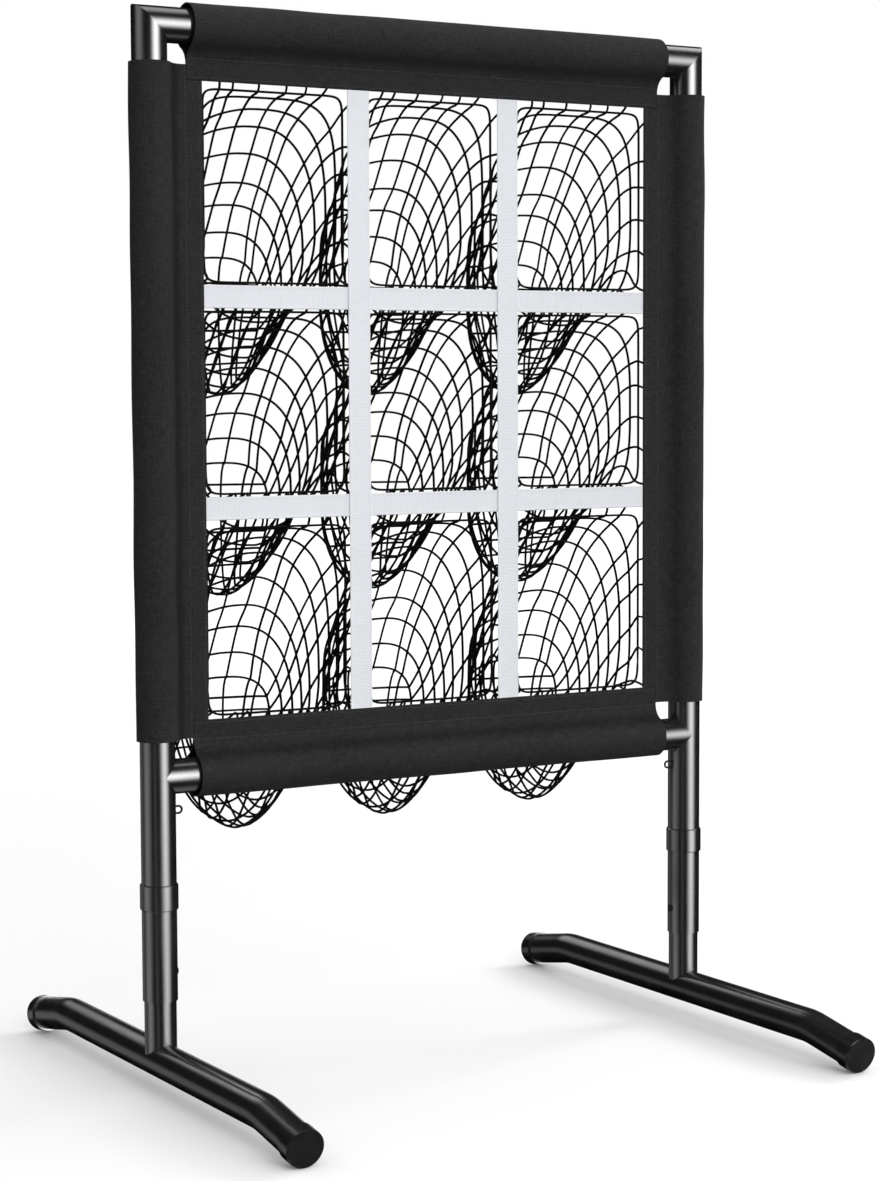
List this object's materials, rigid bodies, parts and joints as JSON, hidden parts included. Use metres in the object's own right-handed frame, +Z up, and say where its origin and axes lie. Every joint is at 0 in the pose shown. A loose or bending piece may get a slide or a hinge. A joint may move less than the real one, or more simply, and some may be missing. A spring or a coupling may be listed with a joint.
{
  "type": "pitching target net",
  "caption": "Free-standing practice target: a tube frame on two bent feet, its opening split into net pockets by webbing straps.",
  "frame": {"origin": "on the ground, midway between the two legs", "axes": "+Z up; -Y toward the thrower, the net pockets hang toward +Y; +X to the right as the thrower sees it"},
  "size_m": [0.7442, 0.6774, 1.1686],
  "materials": {
    "frame_steel": "gloss black enamel on steel tube",
    "cap_plastic": "satin black moulded",
    "spring_steel": "zinc plated",
    "cloth": "black woven polyester",
    "webbing": "white woven webbing",
    "net": "black knotted cord"
  },
  "bodies": {
    "upper_frame": {"left_upright": "frame_steel", "right_upright": "frame_steel", "left_top_stub": "frame_steel", "right_top_stub": "frame_steel", "left_tee_stub": "frame_steel", "right_tee_stub": "frame_steel", "top_crossbar": "frame_steel", "bottom_crossbar": "frame_steel", "left_collar": "frame_steel", "right_collar": "frame_steel", "left_tie_eye": "frame_steel", "right_tie_eye": "frame_steel", "left_sleeve": "cloth", "right_sleeve": "cloth", "top_sleeve": "cloth", "bottom_sleeve": "cloth", "left_strap": "webbing", "right_strap": "webbing", "upper_strap": "webbing", "lower_strap": "webbing", "pocket_top_left": "net", "pocket_top_middle": "net", "pocket_top_right": "net", "pocket_middle_left": "net", "pocket_middle": "net", "pocket_middle_right": "net", "pocket_bottom_left": "net", "pocket_bottom_middle": "net", "pocket_bottom_right": "net"},
    "left_leg": {"left_leg_tube": "frame_steel", "left_post": "frame_steel", "left_foot_tube": "frame_steel", "left_front_cap": "cap_plastic", "left_rear_cap": "cap_plastic", "left_clip_spring": "spring_steel"},
    "left_button": {"left_snap_button": "spring_steel"},
    "right_leg": {"right_leg_tube": "frame_steel", "right_post": "frame_steel", "right_foot_tube": "frame_steel", "right_front_cap": "cap_plastic", "right_rear_cap": "cap_plastic", "right_clip_spring": "spring_steel"},
    "right_button": {"right_snap_button": "spring_steel"}
  },
  "joints": [
    {"name": "left_leg_slide", "type": "slide", "parent": "upper_frame", "child": "left_leg", "axis": [0, 0, -1], "range_m": [0, 0.085]},
    {"name": "left_button_press", "type": "slide", "parent": "left_leg", "child": "left_button", "axis": [-1, 0, 0], "range_m": [0, 0.0045], "stiffness_N_per_m": 800, "springref_m": -0.005, "deforming": ["left_clip_spring"]},
    {"name": "right_leg_slide", "type": "slide", "parent": "upper_frame", "child": "right_leg", "axis": [0, 0, -1], "range_m": [0, 0.085]},
    {"name": "right_button_press", "type": "slide", "parent": "right_leg", "child": "right_button", "axis": [1, 0, 0], "range_m": [0, 0.0045], "stiffness_N_per_m": 800, "springref_m": -0.005, "deforming": ["right_clip_spring"]}
  ]
}
